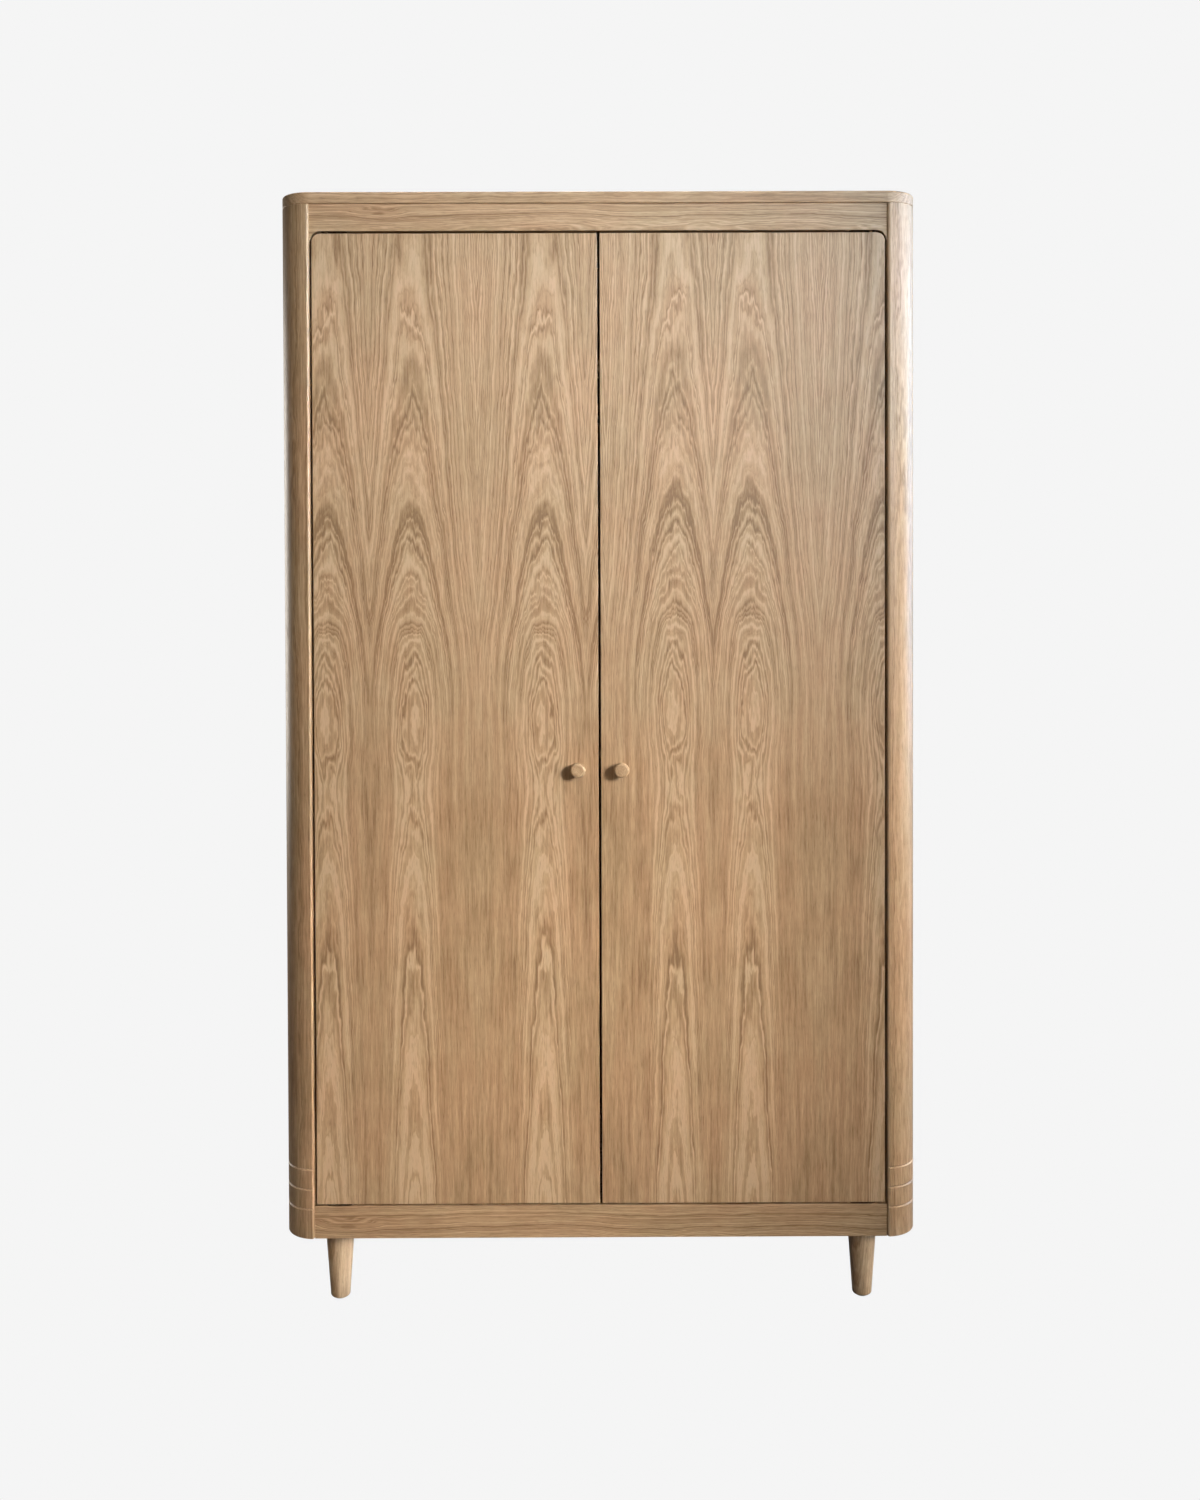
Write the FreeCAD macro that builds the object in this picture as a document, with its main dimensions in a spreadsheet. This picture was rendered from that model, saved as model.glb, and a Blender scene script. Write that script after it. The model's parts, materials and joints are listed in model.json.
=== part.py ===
"""Two-door oak wardrobe on turned legs, with quarter-round corner posts and pivot-hung inset doors.

Millimetres. +Z is up, the doors face -Y, and the origin is on the floor, in the middle of the wardrobe.
"""
import FreeCAD, Part
import os
import re
import Sketcher

# Driving sizes: a word and its length in millimetres, or a count.
SIZES = (
    # Whole wardrobe
    ("overall_width", 1100.0),
    ("overall_height", 1934.0),
    ("body_depth", 580.0),
    ("leg_clearance", 127.5),
    # Top panel
    ("top_thickness", 20.0),
    ("corner_radius", 54.0),
    ("top_edge_round", 4.0),
    ("seam_chamfer", 0.8),
    # Corner posts
    ("post_proud", 5.0),
    ("post_arris_round", 5.0),
    ("post_foot_round", 3.5),
    ("bead_height", 52.5),
    ("bead_pitch", 34.6),
    ("bead_count", 3),
    ("bead_width", 4.0),
    ("bead_depth", 2.0),
    # Sides and their tongues into the posts
    ("side_thickness", 20.0),
    ("tongue_thickness", 8.0),
    ("tongue_depth", 8.0),
    ("tongue_end_gap", 0.4),
    # Front rails
    ("top_rail_height", 46.5),
    ("spandrel_radius", 17.0),
    ("horn_tip", 1.5),
    ("rail_arris_round", 0.8),
    ("bottom_rail_height", 56.5),
    # Floor
    ("floor_thickness", 18.0),
    ("housing_depth", 6.0),
    # Framed back
    ("back_rail_thickness", 20.0),
    ("back_rail_height", 70.0),
    ("back_stile_width", 70.0),
    ("back_panel_thickness", 8.0),
    ("back_groove_depth", 8.0),
    ("back_panel_slack", 0.5),
    ("back_panel_lift", 15.0),
    # Hat shelf and its pins
    ("shelf_space", 262.0),
    ("shelf_thickness", 20.0),
    ("shelf_setback", 3.0),
    ("shelf_end_gap", 0.5),
    ("shelf_edge_round", 2.0),
    ("shelf_pin_diameter", 6.0),
    ("shelf_pin_depth", 11.0),
    ("shelf_pin_head_diameter", 10.0),
    ("shelf_pin_head_length", 11.0),
    ("shelf_pin_inset", 60.0),
    # Hanging rail and its sockets
    ("hanging_drop", 55.0),
    ("hanging_rail_diameter", 25.0),
    ("hanging_rail_wall", 1.5),
    ("hanging_rail_end_gap", 0.4),
    ("socket_flange_diameter", 52.0),
    ("socket_flange_thickness", 4.0),
    ("socket_length", 20.0),
    ("socket_wall", 3.0),
    ("socket_edge_round", 1.5),
    ("socket_fit", 0.1),
    # Doors
    ("door_thickness", 22.0),
    ("door_side_gap", 3.5),
    ("door_centre_gap", 4.0),
    ("door_top_gap", 4.0),
    ("door_bottom_gap", 3.0),
    ("door_arris_round", 1.2),
    # Door pivots
    ("pivot_horn_gap", 8.0),
    ("pivot_setback", 9.0),
    ("pivot_pin_diameter", 7.0),
    ("pivot_pin_reach", 13.0),
    ("pivot_pin_root", 10.0),
    ("pivot_pin_lead", 1.0),
    ("pivot_plate_width", 15.0),
    ("pivot_plate_length", 30.0),
    ("pivot_plate_thickness", 2.5),
    ("pivot_fit", 0.06),
    ("bush_diameter", 11.0),
    ("bush_length", 16.0),
    ("bush_flange_diameter", 14.0),
    ("bush_flange_thickness", 1.5),
    ("washer_diameter", 14.0),
    ("thrust_clearance", 0.2),
    # Magnetic catches and the strike plates that they hold
    ("catch_offset", 62.0),
    ("catch_length", 46.0),
    ("catch_depth", 14.0),
    ("catch_drop", 22.0),
    ("catch_rise", 16.0),
    ("catch_edge_round", 2.0),
    ("catch_clearance", 0.3),
    ("magnet_length", 28.0),
    ("magnet_height", 10.0),
    ("magnet_depth", 6.0),
    ("magnet_lift", 3.0),
    ("strike_length", 38.0),
    ("strike_height", 13.0),
    ("strike_thickness", 1.7),
    ("strike_corner_round", 3.0),
    # Knobs
    ("knob_length", 28.0),
    ("knob_diameter", 26.0),
    ("knob_base_diameter", 20.0),
    ("knob_round", 4.2),
    ("knob_inset", 35.5),
    ("knob_height", 942.0),
    ("knob_screw_diameter", 4.0),
    ("knob_screw_bite", 15.0),
    ("knob_screw_hole_slack", 0.25),
    ("knob_screw_head_diameter", 9.0),
    ("knob_screw_head_height", 2.6),
    # Legs, their plates, bolts and glides
    ("leg_post_gap", 2.0),
    ("leg_rail_gap", 2.0),
    ("leg_back_gap", 15.0),
    ("leg_top_diameter", 56.0),
    ("leg_foot_diameter", 34.0),
    ("leg_foot_round", 5.5),
    ("leg_plate_size", 64.0),
    ("leg_plate_corner", 10.0),
    ("leg_plate_thickness", 3.0),
    ("leg_bolt_diameter", 8.0),
    ("leg_bolt_bite", 34.0),
    ("leg_bolt_rise", 10.0),
    ("leg_bolt_hole_slack", 0.3),
    ("glide_diameter", 20.0),
    ("glide_thickness", 2.0),
    # Dowels
    ("dowel_diameter", 8.0),
    ("dowel_bite", 16.0),
    ("dowel_board_bite", 12.0),
    ("dowel_end_gap", 0.5),
    ("rail_dowel_spread", 24.0),
    ("top_dowel_inset", 80.0),
    ("post_dowel_inset", 22.0),
)

# Places worked out from the sizes. Depths run from front to back along Y, heights up from the floor,
# and widths outwards from the middle of the wardrobe.
PLACES = {
    "front": "-(body_depth + post_proud - knob_length) / 2",
    "back": "front + body_depth",
    "half_width": "overall_width / 2",
    "post_face": "half_width - corner_radius",
    "post_back": "front + corner_radius",
    "side_face": "half_width - side_thickness",
    "side_middle": "half_width - side_thickness / 2",
    "case_top": "overall_height - top_thickness",
    "door_front": "front + post_proud",
    "door_back": "door_front + door_thickness",
    "rail_back": "door_back + strike_thickness + catch_clearance",
    "rail_middle": "(door_front + rail_back) / 2",
    "rail_underside": "case_top - top_rail_height",
    "horn_foot": "rail_underside - spandrel_radius",
    "horn_root": "post_face - horn_tip - spandrel_radius",
    "floor_top": "leg_clearance + bottom_rail_height",
    "floor_underside": "floor_top - floor_thickness",
    "floor_end": "side_face + housing_depth",
    "back_rail_face": "back - back_rail_thickness",
    "back_rail_middle": "back - back_rail_thickness / 2",
    "back_panel_face": "back_rail_face - back_panel_thickness",
    "back_top_rail_foot": "case_top - back_rail_height",
    "back_bottom_rail_head": "leg_clearance + back_rail_height",
    "shelf_top": "case_top - shelf_space",
    "shelf_underside": "shelf_top - shelf_thickness",
    "shelf_front": "post_back + shelf_setback",
    "shelf_pin_height": "shelf_underside - shelf_pin_head_diameter / 2",
    "hanging_height": "shelf_underside - hanging_drop",
    "hanging_depth": "(shelf_front + back_panel_face) / 2",
    "socket_bore": "hanging_rail_diameter / 2 + socket_fit",
    "socket_rim": "socket_bore + socket_wall",
    "door_outer": "post_face - door_side_gap",
    "door_inner": "door_centre_gap / 2",
    "door_top": "rail_underside - door_top_gap",
    "door_bottom": "floor_top + door_bottom_gap",
    "door_corner": "spandrel_radius + horn_tip - door_top_gap",
    "pivot_side": "horn_root - pivot_horn_gap",
    "pivot_depth": "door_front + pivot_setback",
    "pivot_radius": "pivot_pin_diameter / 2",
    "magnet_foot": "rail_underside - catch_drop + magnet_lift",
    "magnet_middle": "magnet_foot + magnet_height / 2",
    "knob_side": "door_inner + knob_inset",
    "leg_side": "post_face - leg_post_gap - leg_plate_size / 2",
    "leg_front": "rail_back + leg_rail_gap + leg_plate_size / 2",
    "leg_back": "back_panel_face - leg_back_gap - leg_plate_size / 2",
    "leg_head": "floor_underside - leg_plate_thickness",
    "leg_bolt_foot": "leg_head - leg_bolt_bite",
    "leg_bolt_tip": "floor_underside + leg_bolt_rise",
    "dowel_radius": "dowel_diameter / 2",
    "top_rail_middle": "case_top - top_rail_height / 2",
    "bottom_rail_middle": "leg_clearance + bottom_rail_height / 2",
    "back_top_rail_middle": "case_top - back_rail_height / 2",
    "back_bottom_rail_middle": "leg_clearance + back_rail_height / 2",
}

AXIS_TURNS = {
    "x": FreeCAD.Rotation(FreeCAD.Vector(0, 1, 0), 90),
    "y": FreeCAD.Rotation(FreeCAD.Vector(1, 0, 0), -90),
    "z": FreeCAD.Rotation(),
    "-y": FreeCAD.Rotation(FreeCAD.Vector(1, 0, 0), 90),
    "-z": FreeCAD.Rotation(FreeCAD.Vector(1, 0, 0), 180),
}
NEAR = 1e-4

doc = FreeCAD.newDocument("wardrobe")
sheet = doc.addObject("Spreadsheet::Sheet", "Sizes")
for row, (alias, amount) in enumerate(SIZES, start=1):
    sheet.set("A{}".format(row), alias)
    sheet.set("B{}".format(row), str(amount))
    sheet.setAlias("B{}".format(row), alias)
doc.recompute()
parts = []


def formula(text):
    """Spell a formula out in the sheet's cells, with each place replaced by its own formula."""
    def spell(match):
        word = match.group(0)
        if word in PLACES:
            return "({})".format(formula(PLACES[word]))
        return "Sizes." + word
    return re.sub("[a-z_]+", spell, text)


def number(text):
    """Value of a formula at the sheet's present sizes."""
    return float(sheet.evalExpression(formula(text)))


def bind(piece, setting, text):
    """Tie one setting of a piece to the sheet."""
    piece.setExpression(setting, formula(text))


def place(piece, x="0", y="0", z="0", along="z"):
    """Put a piece at a point, with its own Z turned along an axis."""
    piece.Placement = FreeCAD.Placement(FreeCAD.Vector(), AXIS_TURNS[along])
    for setting, text in (("x", x), ("y", y), ("z", z)):
        bind(piece, "Placement.Base." + setting, text)
    return piece


def keep(piece, label):
    """Name a finished sub-part and list it for writing."""
    piece.Label = label
    parts.append(piece)
    return piece


def board(x, y, z):
    """Rectangular board between the low and high planes given for each axis."""
    piece = doc.addObject("Part::Box", "Board")
    for setting, (low, high) in (("Length", x), ("Width", y), ("Height", z)):
        bind(piece, setting, "({}) - ({})".format(high, low))
    return place(piece, x[0], y[0], z[0])


def rod(radius, low, high, along, first, second):
    """Round rod along an axis from low to high, with its centre at the other two coordinates in turn."""
    piece = doc.addObject("Part::Cylinder", "Rod")
    bind(piece, "Radius", radius)
    bind(piece, "Height", "({}) - ({})".format(high, low))
    where = {"x": (low, first, second), "y": (first, low, second), "z": (first, second, low)}[along]
    return place(piece, *where, along=along)


def fuse(*pieces):
    """One solid of several overlapping or touching ones."""
    whole = doc.addObject("Part::MultiFuse", "Fuse")
    whole.Shapes = list(pieces)
    whole.Refine = True
    return whole


def cut(base, *tools):
    """A solid with others taken out of it."""
    rest = doc.addObject("Part::Cut", "Cut")
    rest.Base = base
    rest.Tool = tools[0] if len(tools) == 1 else group(tools)
    rest.Refine = True
    return rest


def group(pieces):
    """Separate solids kept together as one set."""
    together = doc.addObject("Part::Compound", "Group")
    together.Links = list(pieces)
    return together


def mirror(piece):
    """The same piece on the other side of the wardrobe's middle plane."""
    other = doc.addObject("Part::Mirroring", "Mirror")
    other.Source = piece
    other.Normal = FreeCAD.Vector(1, 0, 0)
    return other


def keep_pair(piece, label):
    """Keep a left-hand sub-part and its right-hand twin."""
    keep(piece, "left_" + label)
    keep(mirror(piece), "right_" + label)


def add_sketch(body, role, corners):
    """Closed outline on one of the body's origin planes.

    A corner is two formulas, its place. Three more make the edge that ends there an arc: its radius
    and its centre's place.
    """
    sketch = body.newObject("Sketcher::SketchObject", "Outline")
    plane = [feature for feature in body.Origin.OriginFeatures if feature.Role == role][0]
    sketch.AttachmentSupport = [(plane, "")]
    sketch.MapMode = "FlatFace"
    points = [FreeCAD.Vector(number(corner[0]), number(corner[1]), 0) for corner in corners]
    for index, corner in enumerate(corners):
        start, end = points[index - 1], points[index]
        if len(corner) == 2:
            sketch.addGeometry(Part.LineSegment(start, end))
        else:
            radius, centre_x, centre_y = [number(text) for text in corner[2:]]
            centre = FreeCAD.Vector(centre_x, centre_y, 0)
            middle = centre + ((start + end) / 2 - centre).normalize() * radius
            sketch.addGeometry(Part.Arc(start, middle, end))
    tie_outline(sketch, corners, points)
    return sketch


def tie_outline(sketch, corners, points):
    """Join an outline's edges at its corners, and tie corners and arcs to the sheet."""
    def end_at(edge, point):
        return 1 if sketch.getPoint(edge, 1).distanceToPoint(point) < NEAR else 2

    def drive(text, *constraint):
        index = sketch.addConstraint(Sketcher.Constraint(*constraint, number(text)))
        bind(sketch, "Constraints[{}]".format(index), text)

    for index, (corner, point) in enumerate(zip(corners, points)):
        following = (index + 1) % len(corners)
        end = end_at(index, point)
        joined = Sketcher.Constraint("Coincident", index, end, following, end_at(following, point))
        sketch.addConstraint(joined)
        for kind, axis, text in (("DistanceX", -2, corner[0]), ("DistanceY", -1, corner[1])):
            if text == "0":
                sketch.addConstraint(Sketcher.Constraint("PointOnObject", index, end, axis))
            else:
                drive(text, kind, -1, 1, index, end)
        if len(corner) > 2:
            drive(corner[2], "Radius", index)


def padded(role, corners, thickness, reverse=False):
    """Body of one outline raised by a thickness."""
    body = doc.addObject("PartDesign::Body", "Body")
    pad = body.newObject("PartDesign::Pad", "Pad")
    pad.Profile = add_sketch(body, role, corners)
    pad.Reversed = reverse
    bind(pad, "Length", thickness)
    doc.recompute()
    return body


def turned(corners):
    """Body of one outline turned about its own Z axis."""
    body = doc.addObject("PartDesign::Body", "Body")
    turn = body.newObject("PartDesign::Revolution", "Turning")
    sketch = add_sketch(body, "XZ_Plane", corners)
    turn.Profile = sketch
    turn.ReferenceAxis = (sketch, ["V_Axis"])
    turn.Angle = 360
    doc.recompute()
    return body


def soften(body, kind, setting, size, chosen):
    """Round or bevel the edges that a test on an edge and its middle point chooses from a body."""
    base = body.Tip
    names = []
    for index, edge in enumerate(base.Shape.Edges, start=1):
        middle = edge.valueAt((edge.FirstParameter + edge.LastParameter) / 2)
        if chosen(edge, middle):
            names.append("Edge{}".format(index))
    feature = body.newObject("PartDesign::" + kind, kind)
    feature.Base = (base, names)
    bind(feature, setting, size)
    doc.recompute()


def level(edge, axis, height):
    """Whether an edge lies wholly in the plane at a height along an axis."""
    box = edge.BoundBox
    low, high = {"x": (box.XMin, box.XMax), "y": (box.YMin, box.YMax), "z": (box.ZMin, box.ZMax)}[axis]
    return abs(low - height) < NEAR and abs(high - height) < NEAR


def minus(text):
    """The formula for the opposite of a formula."""
    return "-({})".format(text)


def rounded_plate(length, width, corner, thickness):
    """Flat plate about its own middle, with four rounded corners."""
    x, y = "{} / 2".format(length), "{} / 2".format(width)
    inner_x, inner_y = "{} - {}".format(x, corner), "{} - {}".format(y, corner)
    return padded("XY_Plane", (
        (inner_x, minus(y)),
        (x, minus(inner_y), corner, inner_x, minus(inner_y)),
        (x, inner_y),
        (inner_x, y, corner, inner_x, inner_y),
        (minus(inner_x), y),
        (minus(x), inner_y, corner, minus(inner_x), inner_y),
        (minus(x), minus(inner_y)),
        (minus(inner_x), minus(y), corner, minus(inner_x), minus(inner_y)),
    ), thickness)


def dowel_set(low, high, along, spots):
    """Dowels from low to high at spots on the left and their twins on the right, and the bores for them."""
    ends = (low, high)
    bore_ends = ("{} - dowel_end_gap".format(low), "{} + dowel_end_gap".format(high))
    dowels = [rod("dowel_radius", *ends, along, *spot) for spot in spots]
    bores = [rod("dowel_radius", *bore_ends, along, *spot) for spot in spots]
    return tuple(group(rods + [mirror(left) for left in rods]) for rods in (dowels, bores))


def rail_dowels(middles, depth, face, bite):
    """Two dowels in each end of each rail, sunk by a bite into the face that the rail meets."""
    spots = []
    for middle in middles:
        spots.append((depth, "{} - rail_dowel_spread / 2".format(middle)))
        spots.append((depth, "{} + rail_dowel_spread / 2".format(middle)))
    return dowel_set("-{} - {}".format(face, bite), "-{} + dowel_bite".format(face), "x", spots)


def top_dowels():
    """Upright dowels that hold the top panel on the posts and the sides."""
    return dowel_set("case_top - dowel_bite", "case_top + dowel_board_bite", "z", (
        ("-post_face - post_dowel_inset", "post_back - post_dowel_inset"),
        ("-side_middle", "post_back + top_dowel_inset"),
        ("-side_middle", "back_panel_face - top_dowel_inset"),
    ))


def top_panel(bores):
    """Flat top whose front corners follow the posts, rounded above and bevelled at the seam below."""
    body = padded("XY_Plane", (
        ("-half_width", "back"),
        ("-half_width", "post_back"),
        ("-post_face", "front", "corner_radius", "-post_face", "post_back"),
        ("post_face", "front"),
        ("half_width", "post_back", "corner_radius", "post_face", "post_back"),
        ("half_width", "back"),
    ), "top_thickness")
    back, thickness = number("back"), number("top_thickness")
    soften(body, "Fillet", "Radius", "top_edge_round",
           lambda edge, middle: level(edge, "z", thickness) and middle.y < back - NEAR)
    soften(body, "Chamfer", "Size", "seam_chamfer",
           lambda edge, middle: level(edge, "z", 0) and middle.y < back - NEAR)
    place(body, z="case_top")
    keep(cut(body, bores), "top_panel")


def corner_posts(bores):
    """Quarter-round posts with a soft inner arris, three beads cut round the foot and a tongue slot."""
    height = "case_top - leg_clearance"
    body = padded("XY_Plane", (
        ("0", "-corner_radius"),
        ("-corner_radius", "0", "corner_radius", "0", "0"),
        ("0", "0"),
    ), height)
    radius, top = number("corner_radius"), number(height)
    soften(body, "Fillet", "Radius", "post_arris_round",
           lambda edge, middle: abs(middle.x) < NEAR and abs(middle.y + radius) < NEAR)
    soften(body, "Fillet", "Radius", "post_foot_round",
           lambda edge, middle: level(edge, "z", 0) and edge.Curve.TypeId == "Part::GeomCircle")
    soften(body, "Chamfer", "Size", "seam_chamfer",
           lambda edge, middle: level(edge, "z", top) and edge.Curve.TypeId == "Part::GeomCircle")
    solid_volume = body.Shape.Volume
    sketch = add_sketch(body, "XZ_Plane", (
        ("-corner_radius - bead_depth", "bead_height + bead_width"),
        ("-corner_radius - bead_depth", "bead_height - bead_width"),
        ("-corner_radius + bead_depth", "bead_height"),
    ))
    bead = body.newObject("PartDesign::Groove", "Bead")
    bead.Profile = sketch
    bead.ReferenceAxis = (sketch, ["V_Axis"])
    bead.Angle = 360
    doc.recompute()
    beads = body.newObject("PartDesign::LinearPattern", "Beads")
    beads.Originals = [bead]
    beads.Direction = ([axis for axis in body.Origin.OriginFeatures if axis.Role == "Z_Axis"][0], [""])
    bind(beads, "Length", "bead_pitch * (bead_count - 1)")
    bind(beads, "Occurrences", "bead_count")
    body.Tip = beads
    doc.recompute()
    if body.Shape.Volume >= solid_volume:
        raise RuntimeError("the beads cut nothing from the post")
    place(body, "-post_face", "post_back", "leg_clearance")
    slot = board(
        ("-side_middle - tongue_thickness / 2", "-side_middle + tongue_thickness / 2"),
        ("post_back - tongue_depth - tongue_end_gap", "post_back"),
        ("leg_clearance", "case_top"))
    keep_pair(cut(body, slot, bores), "corner_post")


def side_panels(bores, pin_bores):
    """Sides tongued into the posts, grooved for the back and housed for the floor."""
    panel = board(("-half_width", "-side_face"), ("post_back", "back"), ("leg_clearance", "case_top"))
    tongue = board(
        ("-side_middle - tongue_thickness / 2", "-side_middle + tongue_thickness / 2"),
        ("post_back - tongue_depth", "post_back"),
        ("leg_clearance", "case_top"))
    back_groove = board(
        ("-side_face - back_groove_depth", "-side_face"),
        ("back_panel_face", "back_rail_face"),
        ("leg_clearance", "case_top"))
    housing = board(
        ("-floor_end", "-side_face"),
        ("post_back", "back_panel_face"),
        ("floor_underside", "floor_top"))
    keep_pair(cut(fuse(panel, tongue), back_groove, housing, bores, pin_bores), "side_panel")


def top_rail(bores, recesses):
    """Rail over the doors, with a horn at each end that curves down the post."""
    body = padded("XZ_Plane", (
        ("-post_face", "case_top"),
        ("-post_face", "horn_foot"),
        ("-post_face + horn_tip", "horn_foot"),
        ("-horn_root", "rail_underside", "spandrel_radius", "-horn_root", "horn_foot"),
        ("horn_root", "rail_underside"),
        ("post_face - horn_tip", "horn_foot", "spandrel_radius", "horn_root", "horn_foot"),
        ("post_face", "horn_foot"),
        ("post_face", "case_top"),
    ), "rail_back - door_front", reverse=True)
    foot, underside = number("horn_foot"), number("rail_underside")
    soften(body, "Fillet", "Radius", "rail_arris_round",
           lambda edge, middle: level(edge, "y", 0) and foot + NEAR < middle.z < underside + NEAR)
    place(body, y="door_front")
    keep(cut(body, bores, recesses), "top_rail")


def bottom_rail(bores, recesses):
    """Straight rail under the doors, with softened front arrises."""
    body = padded("XZ_Plane", (
        ("-post_face", "leg_clearance"),
        ("post_face", "leg_clearance"),
        ("post_face", "floor_top"),
        ("-post_face", "floor_top"),
    ), "rail_back - door_front", reverse=True)
    soften(body, "Fillet", "Radius", "rail_arris_round",
           lambda edge, middle: level(edge, "y", 0) and abs(middle.x) < NEAR)
    place(body, y="door_front")
    keep(cut(body, bores, recesses), "bottom_rail")


def floor_panel(bolt_bores):
    """Floor housed in the sides, notched round the posts and butted to the bottom rail."""
    body = padded("XY_Plane", (
        ("-floor_end", "back_panel_face"),
        ("-floor_end", "post_back"),
        ("-post_face", "post_back"),
        ("-post_face", "rail_back"),
        ("post_face", "rail_back"),
        ("post_face", "post_back"),
        ("floor_end", "post_back"),
        ("floor_end", "back_panel_face"),
    ), "floor_thickness")
    place(body, z="floor_underside")
    keep(cut(body, bolt_bores), "floor_panel")


def framed_back(bores):
    """Two rails and a centre stile behind two thin panels that slide in the sides' grooves."""
    span, depth = ("-side_face", "side_face"), ("back_rail_face", "back")
    keep(cut(board(span, depth, ("back_top_rail_foot", "case_top")), bores), "back_top_rail")
    keep(cut(board(span, depth, ("leg_clearance", "back_bottom_rail_head")), bores), "back_bottom_rail")
    stile = board(
        ("-back_stile_width / 2", "back_stile_width / 2"),
        depth,
        ("back_bottom_rail_head", "back_top_rail_foot"))
    keep(stile, "back_centre_stile")
    panel = board(
        ("-side_face - back_groove_depth + back_panel_slack", "-back_panel_slack / 2"),
        ("back_panel_face", "back_rail_face"),
        ("leg_clearance + back_panel_lift", "case_top - back_panel_slack"))
    keep_pair(panel, "back_panel")


def hat_shelf():
    """Shelf across the top of the hanging space, with a softened front edge."""
    body = padded("XY_Plane", (
        ("-side_face + shelf_end_gap", "back_panel_face"),
        ("-side_face + shelf_end_gap", "shelf_front"),
        ("side_face - shelf_end_gap", "shelf_front"),
        ("side_face - shelf_end_gap", "back_panel_face"),
    ), "shelf_thickness")
    front = number("shelf_front")
    soften(body, "Fillet", "Radius", "shelf_edge_round",
           lambda edge, middle: level(edge, "y", front) and abs(middle.x) < NEAR)
    keep(place(body, z="shelf_underside"), "hat_shelf")


def shelf_pins():
    """Four headed pins under the shelf's ends; gives back the bores for them in the left side."""
    pins, bores = [], []
    for depth in ("shelf_front + shelf_pin_inset", "back_panel_face - shelf_pin_inset"):
        where = ("x", depth, "shelf_pin_height")
        peg = rod("shelf_pin_diameter / 2", "-side_face - shelf_pin_depth", "-side_face", *where)
        head = rod("shelf_pin_head_diameter / 2", "-side_face", "-side_face + shelf_pin_head_length", *where)
        pin = fuse(peg, head)
        pins += [pin, mirror(pin)]
        bore_end = "-side_face - shelf_pin_depth - dowel_end_gap"
        bores.append(rod("shelf_pin_diameter / 2", bore_end, "-side_face", *where))
    keep(group(pins), "shelf_pins")
    return group(bores)


def hanging_rail():
    """Tube for coat hangers between two flanged sockets on the sides."""
    end = "side_face - socket_flange_thickness - hanging_rail_end_gap"
    where = (minus(end), end, "x", "hanging_depth", "hanging_height")
    tube = rod("hanging_rail_diameter / 2", *where)
    bore = rod("hanging_rail_diameter / 2 - hanging_rail_wall", *where)
    keep(cut(tube, bore), "hanging_rail")
    socket = turned((
        ("0", "0"),
        ("socket_flange_diameter / 2", "0"),
        ("socket_flange_diameter / 2", "socket_flange_thickness - socket_edge_round"),
        ("socket_flange_diameter / 2 - socket_edge_round", "socket_flange_thickness", "socket_edge_round",
         "socket_flange_diameter / 2 - socket_edge_round", "socket_flange_thickness - socket_edge_round"),
        ("socket_rim", "socket_flange_thickness"),
        ("socket_rim", "socket_length"),
        ("socket_bore", "socket_length"),
        ("socket_bore", "socket_flange_thickness"),
        ("0", "socket_flange_thickness"),
    ))
    keep_pair(place(socket, "-side_face", "hanging_depth", "hanging_height", "x"), "rail_socket")


def legs():
    """Four tapered turned legs, each bolted to a plate under the floor and shod with a glide."""
    bolt_radius = "leg_bolt_diameter / 2"
    bolts, glides, bores = [], [], []
    for row, depth in (("front", "leg_front"), ("rear", "leg_back")):
        for hand, side in (("left", "-leg_side"), ("right", "leg_side")):
            leg = turned((
                ("0", "glide_thickness"),
                ("leg_foot_diameter / 2 - leg_foot_round", "glide_thickness"),
                ("leg_foot_diameter / 2", "glide_thickness + leg_foot_round", "leg_foot_round",
                 "leg_foot_diameter / 2 - leg_foot_round", "glide_thickness + leg_foot_round"),
                ("leg_top_diameter / 2", "leg_head"),
                (bolt_radius, "leg_head"),
                (bolt_radius, "leg_bolt_foot - dowel_end_gap"),
                ("0", "leg_bolt_foot - dowel_end_gap"),
            ))
            keep(place(leg, side, depth), "{}_{}_leg".format(row, hand))
            plate = rounded_plate(
                "leg_plate_size", "leg_plate_size", "leg_plate_corner", "leg_plate_thickness")
            place(plate, side, depth, "leg_head")
            where = ("z", side, depth)
            plate_bore = rod(bolt_radius, "leg_head", "floor_underside", *where)
            keep(cut(plate, plate_bore), "{}_{}_leg_plate".format(row, hand))
            bolts.append(rod(bolt_radius, "leg_bolt_foot", "leg_bolt_tip", *where))
            glides.append(rod("glide_diameter / 2", "0", "glide_thickness", *where))
            bores.append(rod(bolt_radius + " + leg_bolt_hole_slack", "floor_underside",
                             "leg_bolt_tip + dowel_end_gap", *where))
    keep(group(bolts), "leg_bolts")
    keep(group(glides), "leg_glides")
    return group(bores)


def pivot_plate():
    """Round-ended plate that lies flat on its own XY plane, with its pivot at its own origin."""
    radius, run = "pivot_plate_width / 2", "pivot_plate_length"
    return padded("XY_Plane", (
        (minus(radius), "0", radius, "0", "0"),
        ("0", minus(radius), radius, "0", "0"),
        (run, minus(radius)),
        ("{} + {}".format(run, radius), "0", radius, run, "0"),
        (run, radius, radius, run, "0"),
        ("0", radius),
    ), "pivot_plate_thickness", reverse=True)


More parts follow.
